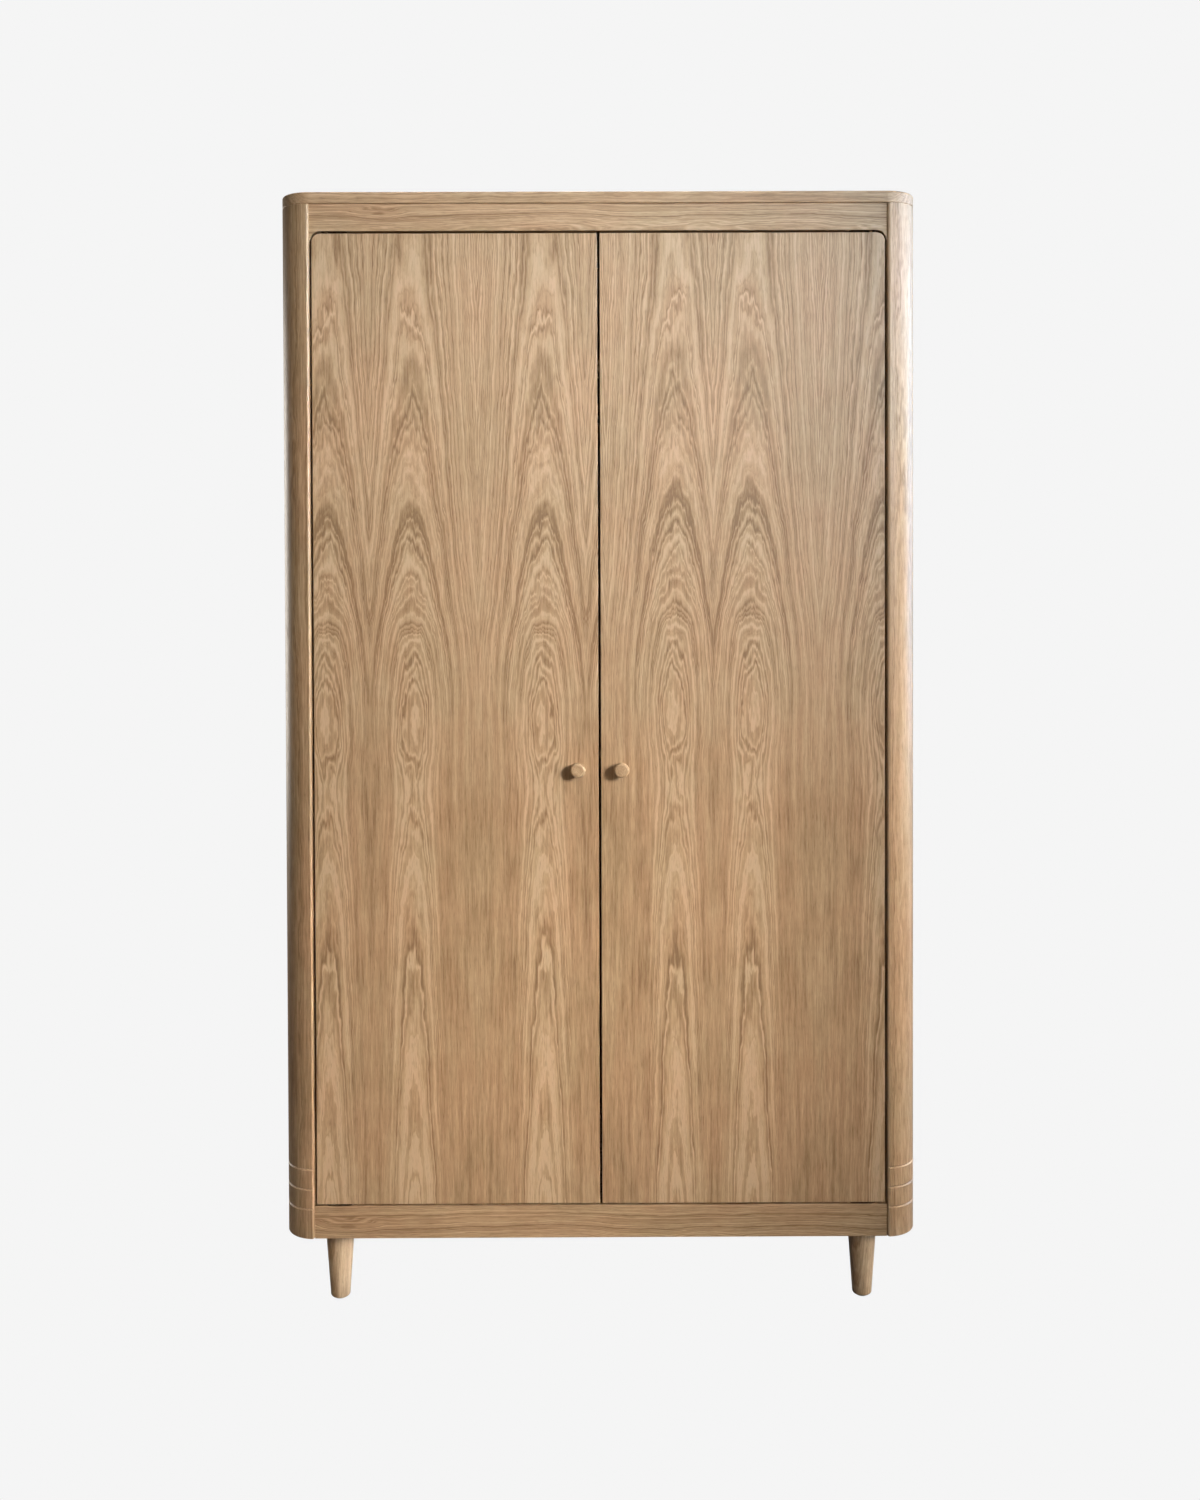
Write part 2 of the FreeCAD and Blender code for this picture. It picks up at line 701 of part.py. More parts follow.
def pivot(row, face, gap, along):
    """Plate let flush into a rail's face and the pin through it, which points along an axis into the door.

    Gives back the recess that the rail needs for both of them, on both sides of the wardrobe.
    """
    where = ("-pivot_side", "pivot_depth", face, along)
    root = "pivot_plate_thickness + pivot_pin_root"
    tip = "{} + pivot_pin_reach".format(gap)
    plate = place(pivot_plate(), *where)
    pin = place(turned((
        ("0", minus(root)),
        ("pivot_radius", minus(root)),
        ("pivot_radius", "{} - pivot_pin_lead".format(tip)),
        ("pivot_radius - pivot_pin_lead", tip),
        ("0", tip),
    )), *where)
    keep_pair(cut(plate, pin), row + "_pivot_plate")
    keep_pair(pin, row + "_pivot_pin")
    recess = fuse(plate, pin)
    return group((recess, mirror(recess)))


def thrust_washers():
    """Washers on the lower pivots that carry the doors' weight."""
    washer = turned((
        ("pivot_radius + pivot_fit", "0"),
        ("washer_diameter / 2", "0"),
        ("washer_diameter / 2", "door_bottom_gap - thrust_clearance"),
        ("pivot_radius + pivot_fit", "door_bottom_gap - thrust_clearance"),
    ))
    keep_pair(place(washer, "-pivot_side", "pivot_depth", "floor_top"), "thrust_washer")


def catches():
    """Magnetic catches behind the top rail, where the doors meet."""
    low = "-catch_offset - catch_length / 2"
    body = padded("XZ_Plane", (
        (low, "rail_underside - catch_drop"),
        ("-catch_offset + catch_length / 2", "rail_underside - catch_drop"),
        ("-catch_offset + catch_length / 2", "rail_underside + catch_rise"),
        (low, "rail_underside + catch_rise"),
    ), "catch_depth", reverse=True)
    depth = number("catch_depth")
    soften(body, "Fillet", "Radius", "catch_edge_round", lambda edge, middle: level(edge, "y", depth))
    place(body, y="rail_back")
    spot = (("-catch_offset - magnet_length / 2", "-catch_offset + magnet_length / 2"),
            ("rail_back", "rail_back + magnet_depth"),
            ("magnet_foot", "magnet_foot + magnet_height"))
    keep_pair(cut(body, board(*spot)), "catch_housing")
    keep_pair(board(*spot), "catch_magnet")


def bush(inner_radius, edge, along):
    """Flanged bush in an edge of the left door on the pivot axis; one with no inner radius is its bore."""
    body = turned((
        (inner_radius, "0"),
        ("bush_flange_diameter / 2", "0"),
        ("bush_flange_diameter / 2", "bush_flange_thickness"),
        ("bush_diameter / 2", "bush_flange_thickness"),
        ("bush_diameter / 2", "bush_length"),
        (inner_radius, "bush_length"),
    ))
    return place(body, "-pivot_side", "pivot_depth", edge, along)


def door_panels():
    """Flush doors with a rounded top outer corner, bored for their bushes and knob screws."""
    body = padded("XZ_Plane", (
        ("-door_outer", "door_bottom"),
        ("-door_inner", "door_bottom"),
        ("-door_inner", "door_top"),
        ("-door_outer + door_corner", "door_top"),
        ("-door_outer", "door_top - door_corner", "door_corner",
         "-door_outer + door_corner", "door_top - door_corner"),
    ), "door_thickness", reverse=True)
    soften(body, "Fillet", "Radius", "door_arris_round", lambda edge, middle: level(edge, "y", 0))
    place(body, y="door_front")
    screw_hole = rod("knob_screw_diameter / 2 + knob_screw_hole_slack", "door_front", "door_back", "y",
                     "-knob_side", "knob_height")
    bores = []
    for row, edge, along in (("top", "door_top", "-z"), ("bottom", "door_bottom", "z")):
        keep_pair(bush("pivot_radius + pivot_fit", edge, along), row + "_bush")
        bores.append(bush("0", edge, along))
    keep_pair(cut(body, screw_hole, *bores), "door_panel")


def knobs():
    """Turned knobs with a rounded face, and the screws that draw them against the doors."""
    screw_radius = "knob_screw_diameter / 2"
    knob = turned((
        (screw_radius, "0"),
        ("knob_base_diameter / 2", "0"),
        ("knob_diameter / 2", "knob_length - knob_round"),
        ("knob_diameter / 2 - knob_round", "knob_length", "knob_round",
         "knob_diameter / 2 - knob_round", "knob_length - knob_round"),
        ("0", "knob_length"),
        ("0", "knob_screw_bite + dowel_end_gap"),
        (screw_radius, "knob_screw_bite + dowel_end_gap"),
    ))
    keep_pair(place(knob, "-knob_side", "door_front", "knob_height", "-y"), "knob")
    screw = turned((
        ("0", "-knob_screw_head_height"),
        ("knob_screw_head_diameter / 2 - knob_screw_head_height", "-knob_screw_head_height"),
        ("knob_screw_head_diameter / 2", "0", "knob_screw_head_height",
         "knob_screw_head_diameter / 2 - knob_screw_head_height", "0"),
        (screw_radius, "0"),
        (screw_radius, "door_thickness + knob_screw_bite"),
        ("0", "door_thickness + knob_screw_bite"),
    ))
    keep_pair(place(screw, "-knob_side", "door_back", "knob_height", "-y"), "knob_screw")


def strike_plates():
    """Steel plates on the backs of the doors, opposite the catches."""
    plate = rounded_plate("strike_length", "strike_height", "strike_corner_round", "strike_thickness")
    keep_pair(place(plate, "-catch_offset", "door_back", "magnet_middle", "y"), "strike_plate")


def build():
    """Make every sub-part: the case, what it holds, its legs and its doors."""
    front_dowels, front_bores = rail_dowels(
        ("top_rail_middle", "bottom_rail_middle"), "rail_middle", "post_face", "dowel_bite")
    back_dowels, back_bores = rail_dowels(
        ("back_top_rail_middle", "back_bottom_rail_middle"), "back_rail_middle", "side_face",
        "dowel_board_bite")
    upright_dowels, upright_bores = top_dowels()
    keep(front_dowels, "rail_dowels")
    keep(back_dowels, "back_rail_dowels")
    keep(upright_dowels, "top_dowels")
    top_recesses = pivot("top", "rail_underside", "door_top_gap", "-z")
    bottom_recesses = pivot("bottom", "floor_top", "door_bottom_gap", "z")
    thrust_washers()
    top_panel(upright_bores)
    corner_posts(group((front_bores, upright_bores)))
    side_panels(group((back_bores, upright_bores)), shelf_pins())
    top_rail(front_bores, top_recesses)
    bottom_rail(front_bores, bottom_recesses)
    floor_panel(legs())
    framed_back(back_bores)
    hat_shelf()
    hanging_rail()
    catches()
    door_panels()
    knobs()
    strike_plates()


def check():
    """Stop if any object failed or any sub-part is empty, invalid or not made of solids."""
    for item in doc.Objects:
        if "Invalid" in item.State or "Error" in item.State:
            raise RuntimeError("{} ({}) failed: {}".format(item.Name, item.Label, item.State))
    for piece in parts:
        if piece.Shape.isNull() or not piece.Shape.isValid() or not piece.Shape.Solids:
            raise RuntimeError("{} has no valid solid".format(piece.Label))


build()
doc.recompute()
check()
os.makedirs("parts", exist_ok=True)
for piece in parts:
    piece.Shape.exportStep(os.path.join("parts", piece.Label + ".step"))
print("{} sub-parts written".format(len(parts)))
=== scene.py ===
"""Looks of the oak wardrobe: oiled oak with book-matched doors, its fittings, the studio and the camera."""
import json
import math

import bpy
import numpy as np
from mathutils import Matrix, Vector


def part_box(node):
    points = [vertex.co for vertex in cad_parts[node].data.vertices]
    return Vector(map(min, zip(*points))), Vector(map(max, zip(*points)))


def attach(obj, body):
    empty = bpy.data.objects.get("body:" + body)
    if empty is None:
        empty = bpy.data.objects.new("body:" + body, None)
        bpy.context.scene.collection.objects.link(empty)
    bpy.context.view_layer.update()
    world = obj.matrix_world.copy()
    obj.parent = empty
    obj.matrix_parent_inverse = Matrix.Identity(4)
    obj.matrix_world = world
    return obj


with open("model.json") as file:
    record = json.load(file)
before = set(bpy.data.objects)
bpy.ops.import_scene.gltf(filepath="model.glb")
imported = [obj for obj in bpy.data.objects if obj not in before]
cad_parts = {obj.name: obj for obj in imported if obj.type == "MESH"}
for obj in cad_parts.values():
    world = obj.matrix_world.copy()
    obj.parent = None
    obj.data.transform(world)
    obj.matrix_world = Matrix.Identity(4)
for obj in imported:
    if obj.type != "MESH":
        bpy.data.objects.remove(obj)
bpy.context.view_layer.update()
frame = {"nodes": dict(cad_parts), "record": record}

# Camera, fitted to the edges of the case, the beads and the seam under the top
IMAGE_HEIGHT = 1500
SENSOR = 36.0
FOCAL_PIXELS = 1531.0
AXIS_ROW = 602.0
EYE = (-0.0075, -2.911, 1.2726)
PITCH_DOWN = math.radians(0.93)
YAW_RIGHT = math.radians(0.19)
ROLL = math.radians(-0.185)

# Studio
FLOOR_HALF_WIDTH = 14.0
PALE = (0.913, 0.913, 0.913, 1.0)
FLOOR_SHADE = (0.30, 0.29, 0.28, 1.0)
SKY = (0.78, 0.86, 1.0, 1.0)
SKY_STRENGTH = 0.012
WARM = (1.0, 0.83, 0.61)
COLD = (0.39, 0.65, 1.0)
KEY_PLACE = (2.2, -3.4, 2.0)
# Name, place, point it faces, width, height, spread in degrees, watts and colour of each soft light
LIGHTS = (
    ("low key", KEY_PLACE, (-0.15, -0.27, 0.75), 0.8, 0.8, 32.0, 2.5, WARM),
    ("high key", KEY_PLACE, (-0.28, -0.27, 1.75), 0.8, 0.8, 30.0, 3.8, (1.0, 0.96, 0.90)),
    ("foot key", KEY_PLACE, (-0.16, -0.27, 0.35), 0.8, 0.8, 20.0, 2.2, (1.0, 0.98, 0.94)),
    ("sky key", KEY_PLACE, (0.10, -0.27, 1.60), 0.8, 0.8, 50.0, 3.4, COLD),
    ("front", (0.0, -3.0, 2.7), (-0.1, -0.27, 1.35), 1.0, 1.0, 55.0, 1.85, WARM),
    ("gloss", (1.5, -2.6, 2.9), (0.45, -0.27, 1.8), 0.9, 0.7, 70.0, 1.3, COLD),
    ("glare", (2.0, -0.75, 2.15), (0.52, -0.26, 1.95), 1.5, 0.6, 60.0, 4.5, COLD),
    ("post window", (2.6, -0.55, 1.55), (0.52, -0.26, 1.35), 0.5, 1.8, 180.0, 33.0, (1.0, 0.88, 0.72)),
    ("side window", (3.0, 0.9, 1.6), (0.55, 0.0, 1.1), 1.5, 1.8, 90.0, 22.0, (0.42, 0.68, 1.0)),
    ("left leg", (0.55, -0.56, 0.10), (-0.46, -0.21, 0.055), 0.15, 0.10, 7.0, 0.066, (0.57, 0.77, 1.0)),
    ("right leg", (1.30, -0.80, 0.10), (0.46, -0.21, 0.055), 0.15, 0.10, 9.0, 0.026, (0.6, 0.80, 1.0)),
    ("ceiling", (0.0, 0.45, 3.6), (0.0, 0.15, 1.93), 1.6, 0.8, 50.0, 6.0, (1.0, 0.98, 0.95)),
    ("left fill", (-2.6, 1.6, 1.3), (-0.55, 0.05, 1.0), 1.5, 1.6, 80.0, 11.0, (1.0, 0.95, 0.88)),
    ("back", (0.0, 2.4, 1.0), (0.0, 0.3, 1.0), 1.05, 1.6, 80.0, 10.5, (1.0, 0.97, 0.94)),
)


class Term:
    """A shader socket in arithmetic: each operator on terms and numbers adds one Math node."""

    def __init__(self, finish, socket):
        self.finish = finish
        self.socket = socket

    def math(self, operation, *operands):
        return self.finish.node("ShaderNodeMath", {"operation": operation}, dict(enumerate(operands)))

    def __add__(self, other):
        return self.math("ADD", self, other)

    __radd__ = __add__

    def __sub__(self, other):
        return self.math("SUBTRACT", self, other)

    def __rsub__(self, other):
        return self.math("SUBTRACT", other, self)

    def __mul__(self, other):
        return self.math("MULTIPLY", self, other)

    __rmul__ = __mul__

    def __truediv__(self, other):
        return self.math("DIVIDE", self, other)

    def __rtruediv__(self, other):
        return self.math("DIVIDE", other, self)

    def root(self):
        return self.math("SQRT", self)

    def floor(self):
        return self.math("FLOOR", self)

    def fraction(self):
        return self.math("FRACT", self)

    def folded(self, length):
        """Run up to a length and back down again, over and over."""
        return self.math("PINGPONG", self, length)

    def between(self, first, second):
        """The first number where the term is 0, the second where it is 1, and in line between them."""
        return first + (second - first) * self

    def step(self, low, high):
        """Rise smoothly from 0 at low to 1 at high, or fall where low is the higher."""
        settings = {"interpolation_type": "SMOOTHSTEP"}
        inlets = {"Value": self, "From Min": low, "From Max": high}
        return self.finish.node("ShaderNodeMapRange", settings, inlets)


class Finish:
    """A material that is put together node by node round one Principled shader."""

    def __init__(self, name):
        self.material = bpy.data.materials.new(name)
        self.material.use_nodes = True
        self.tree = self.material.node_tree
        self.shader = self.tree.nodes["Principled BSDF"]
        self.place = self.node("ShaderNodeTexCoord", outlet="Object")
        self.x, self.y, self.z = (
            self.node("ShaderNodeSeparateXYZ", inlets={"Vector": self.place}, outlet=axis) for axis in "XYZ")

    def node(self, kind, settings=None, inlets=None, outlet=0):
        """Add a node: its settings first, then a number, colour or term at each inlet that is named."""
        made = self.tree.nodes.new(kind)
        for name, value in (settings or {}).items():
            if name == "stops":
                set_stops(made.color_ramp, value)
            elif name == "curve":
                set_curve(made.mapping, value)
            else:
                setattr(made, name, value)
        for name, value in (inlets or {}).items():
            self.join(made.inputs[name], value)
        return Term(self, made.outputs[outlet])

    def join(self, inlet, value):
        if isinstance(value, Term):
            self.tree.links.new(value.socket, inlet)
        else:
            inlet.default_value = value

    def feed(self, **values):
        """Set or link the shader's own sockets, named with underscores for spaces."""
        for name, value in values.items():
            self.join(self.shader.inputs[name.replace("_", " ")], value)
        return self.material

    def vector(self, x, y, z):
        return self.node("ShaderNodeCombineXYZ", inlets={"X": x, "Y": y, "Z": z})

    def noise(self, where, scale, detail=2.0, rough=0.5):
        """Cloudy noise about 0, from roughly -0.5 to 0.5."""
        inlets = {"Vector": where, "Scale": scale, "Detail": detail, "Roughness": rough}
        return self.node("ShaderNodeTexNoise", {"noise_dimensions": "3D"}, inlets) - 0.5

    def sway(self, value, scale, detail=1.0, rough=0.5):
        """Noise about 0 along one value."""
        inlets = {"W": value, "Scale": scale, "Detail": detail, "Roughness": rough}
        return self.node("ShaderNodeTexNoise", {"noise_dimensions": "1D"}, inlets) - 0.5

    def chance(self, value):
        """A number between 0 and 1 that jumps for every whole value."""
        return self.node("ShaderNodeTexWhiteNoise", {"noise_dimensions": "1D"}, {"W": value})

    def curve(self, value, points):
        return self.node("ShaderNodeFloatCurve", {"curve": points}, {"Value": value})

    def ramp(self, value, stops):
        return self.node("ShaderNodeValToRGB", {"stops": stops}, {"Fac": value})

    def blend(self, share, first, second, mode="MIX"):
        settings = {"data_type": "RGBA", "blend_type": mode}
        return self.node("ShaderNodeMix", settings, {0: share, 6: first, 7: second}, outlet=2)

    def bump(self, height, distance, strength):
        inlets = {"Height": height, "Distance": distance, "Strength": strength}
        return self.node("ShaderNodeBump", inlets=inlets)


def set_stops(ramp, stops):
    """Give a colour ramp its stops, each a place from 0 to 1 and a colour."""
    for _ in range(len(stops) - len(ramp.elements)):
        ramp.elements.new(0.5)
    for element, (place, colour) in zip(ramp.elements, stops):
        element.position = place
        element.color = colour


def set_curve(mapping, points):
    """Give a value curve its points, each a place and a height."""
    curve = mapping.curves[0]
    for _ in range(len(points) - len(curve.points)):
        curve.points.new(0.5, 0.5)
    for point, where in zip(curve.points, points):
        point.location = where
    mapping.update()


def distance(first, second):
    """Distance from a line, by the two offsets square to it."""
    return (first * first + second * second).root()


# Oak, in metres. A noise has its size, cells per metre, stretch along the grain, detail and roughness.
WANDER = (0.012, 7.0, 0.14, 2.0, 0.6)
RIPPLE = (0.0062, 32.0, 0.22, 2.0, 0.6)
JAG = (0.0028, 95.0, 0.26, 2.0, 0.6)
FEATHER = (0.0019, 240.0, 0.04, 2.0, 0.6)
STRAND = (1.15, 420.0, 0.06, 3.0, 0.65)
STREAK = (0.75, 90.0, 0.07, 4.0, 0.65)
CLOUD = (0.65, 11.0, 0.16, 3.0, 0.6)
PORES = (1.0, 1100.0, 0.06, 1.0, 0.5)
HUE = (1.0, 14.0, 0.3, 3.0, 0.6)
HUE_SHIFT = 3.0
PORE_EDGE = (0.06, 0.20)
HUE_EDGE = (-0.16, 0.16)

# Yearly rings: their width, and noises along the count of years with cells per year, detail and roughness
RING_WIDTH = 0.0020
UNEVEN_YEARS = 3.2
UNEVEN_SCALE = 0.21
ERA = (0.30, 4.0, 0.75)
SPELL = (0.34, 2.0, 0.6)
SPELL_EDGE = (0.01, 0.07)

# Parts of one year where its dark band and its pale line rise and fall
BAND_RISE = (0.0, 0.28)
BAND_FALL = (0.92, 0.20)
LINE_RISE = (0.55, 0.85)
LINE_FALL = (1.0, 0.85)
LEAST_BAND = 0.15

# Shade of the wood, from 0 for the palest to 1 for the darkest of the tones
MIDDLE_SHADE = 0.42
ERA_DARK = 1.9
BAND_DARK = 0.50
LINE_PALE = 0.46
OAK_TONES = (
    (0.0, (0.640, 0.446, 0.275, 1.0)),
    (0.35, (0.540, 0.356, 0.205, 1.0)),
    (0.70, (0.420, 0.260, 0.138, 1.0)),
    (1.0, (0.290, 0.168, 0.083, 1.0)),
)
OAK_PORE = (0.17, 0.085, 0.038, 1.0)
OAK_OLIVE = (0.97, 1.00, 0.985, 1.0)
OAK_ORANGE = (1.03, 0.992, 0.975, 1.0)

# Pores and gloss; each pair is for a place outside a dark band and for one in its middle
PORE_DARK = (0.20, 0.56)
PORE_DEPTH = (0.3, 1.0)
BAND_DEPTH = 0.25
RELIEF = (0.00022, 0.6)
OAK_ROUGH = 0.42
PORE_ROUGH = 0.16
STRAND_ROUGH = 0.087
OAK_SPECULAR = 0.5


def oak(finish, radius, across, depth, along, figure=1.0, tone=0.0, flame=0.0, streaks=1.0):
    """Oak whose yearly rings lie at a radius from the pith, with fibres along the grain.

    Four noises, each stretched along the grain, bend the radius, which is counted in years of uneven width.
    Every year starts with a dark porous band that fades and ends in a thin pale line, each to its own
    degree. Some spells of several years are pale throughout, by the flame term.
    """
    def fibres(noise, side=across):
        size, scale, stretch, detail, rough = noise
        return finish.noise(finish.vector(side, depth, along * stretch), scale, detail, rough) * size

    bent = radius
    for noise in (WANDER, RIPPLE, JAG, FEATHER):
        bent = bent + fibres(noise)
    count = bent / RING_WIDTH
    years = count + finish.sway(count, UNEVEN_SCALE) * UNEVEN_YEARS
    season = years.fraction()
    year = years.floor()
    band = season.step(*BAND_RISE) * season.step(*BAND_FALL) * finish.chance(year).between(LEAST_BAND, 1.0)
    line = season.step(*LINE_RISE) * season.step(*LINE_FALL) * finish.chance(year + 0.5)
    era = finish.sway(count, *ERA)
    spell = finish.sway(count, *SPELL).step(*SPELL_EDGE)
    strand = fibres(STRAND)
    pores = fibres(PORES).step(*PORE_EDGE)
    rings = era * ERA_DARK + band * BAND_DARK - line * LINE_PALE
    shade = (MIDDLE_SHADE + tone + rings * figure
             + strand + fibres(STREAK) * streaks + fibres(CLOUD) - spell * flame)
    colour = finish.ramp(shade, OAK_TONES)
    hue = fibres(HUE, across + HUE_SHIFT).step(*HUE_EDGE)
    colour = finish.blend(1.0, colour, finish.blend(hue, OAK_OLIVE, OAK_ORANGE), "MULTIPLY")
    colour = finish.blend(pores * band.between(*PORE_DARK), colour, OAK_PORE)
    rough = OAK_ROUGH + PORE_ROUGH * pores + STRAND_ROUGH * strand
    relief = 1.0 - pores * band.between(*PORE_DEPTH) - BAND_DEPTH * band
    return finish.feed(
        Base_Color=colour,
        Roughness=rough,
        Normal=finish.bump(relief, *RELIEF),
        Specular_IOR_Level=OAK_SPECULAR)


# Distance of the veneer's cut from the pith, nearest and farthest, and its course along the grain as shares:
# the dip in the middle is the eye of the grain, and the long slope above it makes the flames.
PITH_NEAR = 0.038
PITH_FAR = 0.120
LEFT_HEART = ((0.0, 0.0), (0.157, 0.09), (0.306, 0.19), (0.390, 0.265), (0.435, 0.289), (0.491, 0.240),
              (0.547, 0.289), (0.634, 0.51), (0.783, 0.754), (1.0, 0.914))
RIGHT_HEART = ((0.0, 0.02), (0.140, 0.09), (0.290, 0.18), (0.400, 0.265), (0.445, 0.289), (0.505, 0.238),
               (0.562, 0.289), (0.650, 0.50), (0.790, 0.74), (1.0, 0.90))
LEAF_STEP = 0.0015

# Change along a leaf: where the foot passes into the head, then pairs for the foot and for the head
HEAD_EDGE = (0.40, 0.65)
CROWN_SPREAD = (0.25, 1.0)
CROWN_FIGURE = (0.70, 1.05)
CROWN_TONE = (0.02, 0.0)
CROWN_FLAME = (0.50, 0.0)
CROWN_STREAKS = (1.7, 1.0)
OUTER_FADE = (0.65, 0.20)
OUTER_TONE = (0.16, -0.06)

# Squares of the distance from the crown where the outer part starts and where a flame ends
OUTER_EDGE = (0.0030, 0.0100)
FLAME_EDGE = (0.0030, 0.0004)

# Veneered panels: axes across and along the grain, mirror line, width of a leaf, place of its crown, heart
VENEERS = {
    "left_door_panel": ("xz", -0.3957, 0.1863, 0.0736, LEFT_HEART),
    "right_door_panel": ("xz", 0.1965, 0.18365, 0.0664, RIGHT_HEART),
    "left_side_panel": ("yz", -0.15, 0.19, 0.08, RIGHT_HEART),
    "right_side_panel": ("yz", -0.11, 0.19, 0.09, LEFT_HEART),
}

# Small knots of the rails: place along the rail, height, half length, half height and bend of the rings
TOP_RAIL_KNOT = (-0.377, 1.897, 0.060, 0.014, 0.0045)
BOTTOM_RAIL_KNOT = (-0.4385, 0.148, 0.070, 0.020, 0.0080)
KNOT_HEART = 0.06
KNOT_DARK = 0.35

# Solid pieces: axis of the grain and place of the pith on the other two, then strength of the figure, tone,
# sweep of the pith and knot where they are not the plain ones
SWEEP_SCALE = 3.2
SOLIDS = {
    "top_rail": ("x", (-0.291, 1.868), 0.95, 0.0, 0.030, TOP_RAIL_KNOT),
    "bottom_rail": ("x", (-0.288, 0.118), 1.0, 0.06, 0.045, BOTTOM_RAIL_KNOT),
    "top_panel": ("x", (0.05, 1.78), 0.7),
    "back_top_rail": ("x", (0.25, 1.87), 0.7),
    "back_bottom_rail": ("x", (0.25, 0.14), 0.7),
    "hat_shelf": ("x", (0.04, 1.50)),
    "floor_panel": ("x", (0.0, 0.0)),
    "front_left_leg": ("z", (-0.40, -0.14), 0.6),
    "front_right_leg": ("z", (0.53, -0.14), 0.6),
    "rear_left_leg": ("z", (-0.40, 0.15), 0.6),
    "rear_right_leg": ("z", (0.53, 0.15), 0.6),
}

# Corner posts: side of the wardrobe, place of the pith and tone, where the left post's darker tone is painted
# shade on the post turned away from the lights; knobs: place of the pith
POSTS = {
    "left_corner_post": (-1, (-0.40, -0.15), 0.12),
    "right_corner_post": (1, (0.42, -0.13), 0.0),
}
KNOBS = {"left_knob": (-0.06, 0.91), "right_knob": (0.07, 0.92)}

# Painted highlights on oak: the pale stripe along a post's front inner edge, the pale lower flank of each of
# its beads and the pale rim of a knob, each painted where light would catch it. Each pair is where the
# highlight fades in or out; the beads are counted in pitches.
POST_FIGURE = 0.5
POST_RADIUS = 0.054
STRIPE_INNER = (0.0009, 0.0015)
STRIPE_OUTER = (0.0048, 0.0026)
STRIPE_DEPTH = (0.0046, 0.0040)
STRIPE_HIGHLIGHT = 0.55
BEAD_HEIGHT = 0.0525
BEAD_PITCH = 0.0346
LOWEST_BEAD = (-0.6, -0.5)
TOPMOST_BEAD = (2.3, 2.2)
FLANK_WIDTH = (0.0026, 0.0020)
FLANK_RADIUS = (POST_RADIUS - 0.0026, POST_RADIUS - 0.0022)
FLANK_HIGHLIGHT = 0.42
KNOB_FIGURE = 0.25
KNOB_TONE = -0.02
KNOB_RIM = (0.0080, 0.0120)
RIM_HIGHLIGHT = 0.34


def oak_name(node):
    """Name of the oak that belongs to one node."""
    return node.replace("_", " ") + " oak"


def middle_of(node):
    """Middle of a node's box."""
    least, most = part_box(node)
    return (np.array(least) + np.array(most)) / 2


def crown_oak(node, axes, mirror_line, leaf_width, crown, heart):
    """Crown-cut veneer: leaves fold back at each mirror line, and the crown runs up every leaf.

    Axes name the directions across and along the grain. Across a leaf the pith lies behind the crown, and
    along it the heart curve says how far behind. The rings fade away from the crown, sooner at the foot than
    at the head.
    """
    finish = Finish(oak_name(node))
    places = {"x": finish.x, "y": finish.y, "z": finish.z}
    least, most = (dict(zip("xyz", corner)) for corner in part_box(node))
    run, (thin,) = axes[1], set("xyz") - set(axes)
    side, along = places[axes[0]] - mirror_line, places[run]
    share = (along - least[run]) / (most[run] - least[run])
    inward = places[thin] - least[thin]
    leaf = (side / leaf_width).floor()
    across = side.folded(leaf_width) - crown
    pith = finish.curve(share, heart).between(PITH_NEAR, PITH_FAR) + inward
    reach = across * across
    head = share.step(*HEAD_EDGE)
    outer = (reach / head.between(*CROWN_SPREAD)).step(*OUTER_EDGE)
    figure = head.between(*CROWN_FIGURE) * (1.0 - head.between(*OUTER_FADE) * outer)
    tone = outer * head.between(*OUTER_TONE) + head.between(*CROWN_TONE)
    flame = head.between(*CROWN_FLAME) * reach.step(*FLAME_EDGE)
    return oak(finish, distance(across, pith), across, inward + leaf * LEAF_STEP, along, figure, tone, flame,
               head.between(*CROWN_STREAKS))


def solid_oak(name, along, pith, figure=1.0, tone=0.0, sweep=0.0, knot=None):
    """Solid oak whose grain runs along one axis, with the pith at a point beside the piece.

    The pith may sweep to and fro along the grain, so that the rings on a face rise and fall, and a knot on a
    rail bends them round its dark heart.
    """
    finish = Finish(name)
    places = {"x": finish.x, "y": finish.y, "z": finish.z}
    grain = places.pop(along)
    across, depth = (axis - offset for axis, offset in zip(places.values(), pith))
    radius = distance(across + finish.sway(grain, SWEEP_SCALE, 2.0) * sweep, depth)
    if knot:
        place, height, half_length, half_height, bend = knot
        beside = (grain - place) / half_length
        above = (finish.z - height) / half_height
        reach = beside * beside + above * above
        radius = radius + reach.step(1.0, 0.0) * bend
        tone = tone + reach.step(KNOT_HEART, 0.0) * KNOT_DARK
    return oak(finish, radius, across, depth, grain, figure, tone)


def post_oak(node, side, pith, tone):
    """Oak of a corner post with upright grain, with painted highlights along its front inner edge and its
    beads' lower flanks.
    """
    finish = Finish(oak_name(node))
    least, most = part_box(node)
    outward = finish.x * side - min(abs(least[0]), abs(most[0]))
    behind = finish.y - least[1]
    stripe = outward.step(*STRIPE_INNER) * outward.step(*STRIPE_OUTER) * behind.step(*STRIPE_DEPTH)
    reach = distance(outward, most[1] - finish.y)
    climb = (finish.z - least[2] - BEAD_HEIGHT) / BEAD_PITCH
    below = (1.0 - climb.fraction()) * BEAD_PITCH
    beaded = climb.step(*LOWEST_BEAD) * climb.step(*TOPMOST_BEAD)
    flank = below.step(*FLANK_WIDTH) * reach.step(*FLANK_RADIUS) * beaded
    across, depth = finish.x - pith[0], finish.y - pith[1]
    # Painted highlights: a pale stripe on the front inner edge and on the upward-facing lower flank of each
    # bead
    painted_highlight = STRIPE_HIGHLIGHT * stripe + FLANK_HIGHLIGHT * flank
    return oak(finish, distance(across, depth), across, depth, finish.z, POST_FIGURE, tone - painted_highlight)


